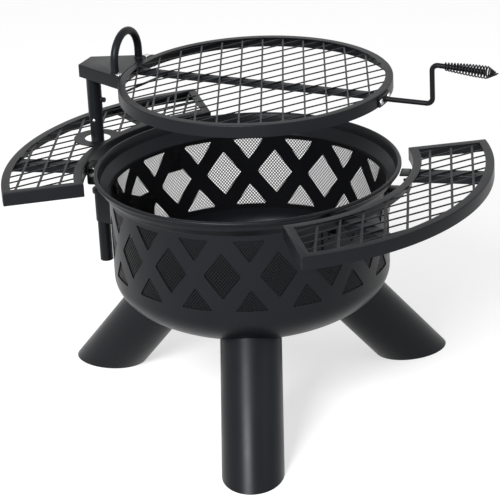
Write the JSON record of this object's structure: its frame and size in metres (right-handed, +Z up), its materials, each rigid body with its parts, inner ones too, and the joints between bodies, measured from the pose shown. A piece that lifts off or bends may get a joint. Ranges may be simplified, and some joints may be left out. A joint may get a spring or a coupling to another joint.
{
  "type": "fire pit grill",
  "caption": "Round steel fire pit on splayed tube legs, with a cutout wall, mesh side shelves and a round cooking grate that swivels and lifts on a side post.",
  "frame": {"origin": "the bowl's axis, in the middle of the object's box, on the floor that the three legs stand on", "axes": "+Z up; +X along the object's longest side, from the shelf at the post towards the spring-grip handle's side; -Y towards the front leg"},
  "size_m": [0.9732, 0.9544, 0.7393],
  "materials": {
    "powder_coat": "satin black powder coat",
    "black_wire": "semi-gloss black",
    "zinc_steel": "zinc-plated"
  },
  "bodies": {
    "fire_pit": {"fire_bowl": "powder_coat", "spark_screen": "black_wire", "leg_front": "powder_coat", "leg_right": "powder_coat", "leg_left": "powder_coat", "shelf_frame_left": "powder_coat", "shelf_mesh_left": "powder_coat", "shelf_arm_left_1": "powder_coat", "shelf_arm_left_2": "powder_coat", "shelf_bracket_left_1": "black_wire", "shelf_bracket_left_2": "black_wire", "shelf_frame_right": "powder_coat", "shelf_mesh_right": "powder_coat", "shelf_arm_right_1": "powder_coat", "shelf_arm_right_2": "powder_coat", "shelf_bracket_right_1": "black_wire", "shelf_bracket_right_2": "black_wire", "post_holder": "powder_coat", "leg_front_bolt_1": "black_wire", "leg_front_bolt_2": "black_wire", "leg_right_bolt_1": "black_wire", "leg_right_bolt_2": "black_wire", "leg_left_bolt_1": "black_wire", "leg_left_bolt_2": "black_wire", "shelf_bracket_left_1_bolt_1": "black_wire", "shelf_bracket_left_1_bolt_2": "black_wire", "shelf_bracket_left_1_shelf_bolt": "black_wire", "shelf_bracket_left_2_bolt_1": "black_wire", "shelf_bracket_left_2_bolt_2": "black_wire", "shelf_bracket_left_2_shelf_bolt": "black_wire", "shelf_bracket_right_1_bolt_1": "black_wire", "shelf_bracket_right_1_bolt_2": "black_wire", "shelf_bracket_right_1_shelf_bolt": "black_wire", "shelf_bracket_right_2_bolt_1": "black_wire", "shelf_bracket_right_2_bolt_2": "black_wire", "shelf_bracket_right_2_shelf_bolt": "black_wire", "post_holder_bolt_1": "black_wire", "post_holder_bolt_2": "black_wire"},
    "post": {"post": "powder_coat", "post_collar": "powder_coat", "button_spring": "zinc_steel"},
    "grate": {"grate_sleeve": "powder_coat", "grate_arm": "powder_coat", "lifting_handle": "powder_coat", "grate_ring": "powder_coat", "grate_mesh": "powder_coat", "grate_crossbar": "powder_coat", "grate_brace": "black_wire", "arm_screw_front": "zinc_steel", "arm_screw_back": "zinc_steel", "handle_bracket": "powder_coat", "handle_screw_1": "zinc_steel", "handle_screw_2": "zinc_steel", "handle_rod": "black_wire", "handle_spring_grip": "black_wire"},
    "snap_button": {"snap_button": "zinc_steel"},
    "thumb_screw": {"thumb_screw": "black_wire"}
  },
  "joints": [
    {"name": "grate_swivel", "type": "hinge", "parent": "fire_pit", "child": "post", "pos_m": [-0.30395, 0.20118, 0.375], "axis": [0, 0, 1], "continuous": true},
    {"name": "grate_lift", "type": "slide", "parent": "post", "child": "grate", "axis": [0, 0, 1], "range_m": [0, 0.07]},
    {"name": "snap_button_press", "type": "slide", "parent": "post", "child": "snap_button", "axis": [0.2588, 0.9659, 0], "range_m": [0, 0.0032], "stiffness_N_per_m": 1500, "springref_m": -0.001},
    {"name": "thumb_screw_turn", "type": "hinge", "parent": "grate", "child": "thumb_screw", "pos_m": [-0.30395, 0.20118, 0.58], "axis": [0.9011, -0.4337, 0], "range_deg": [0, 360]}
  ]
}
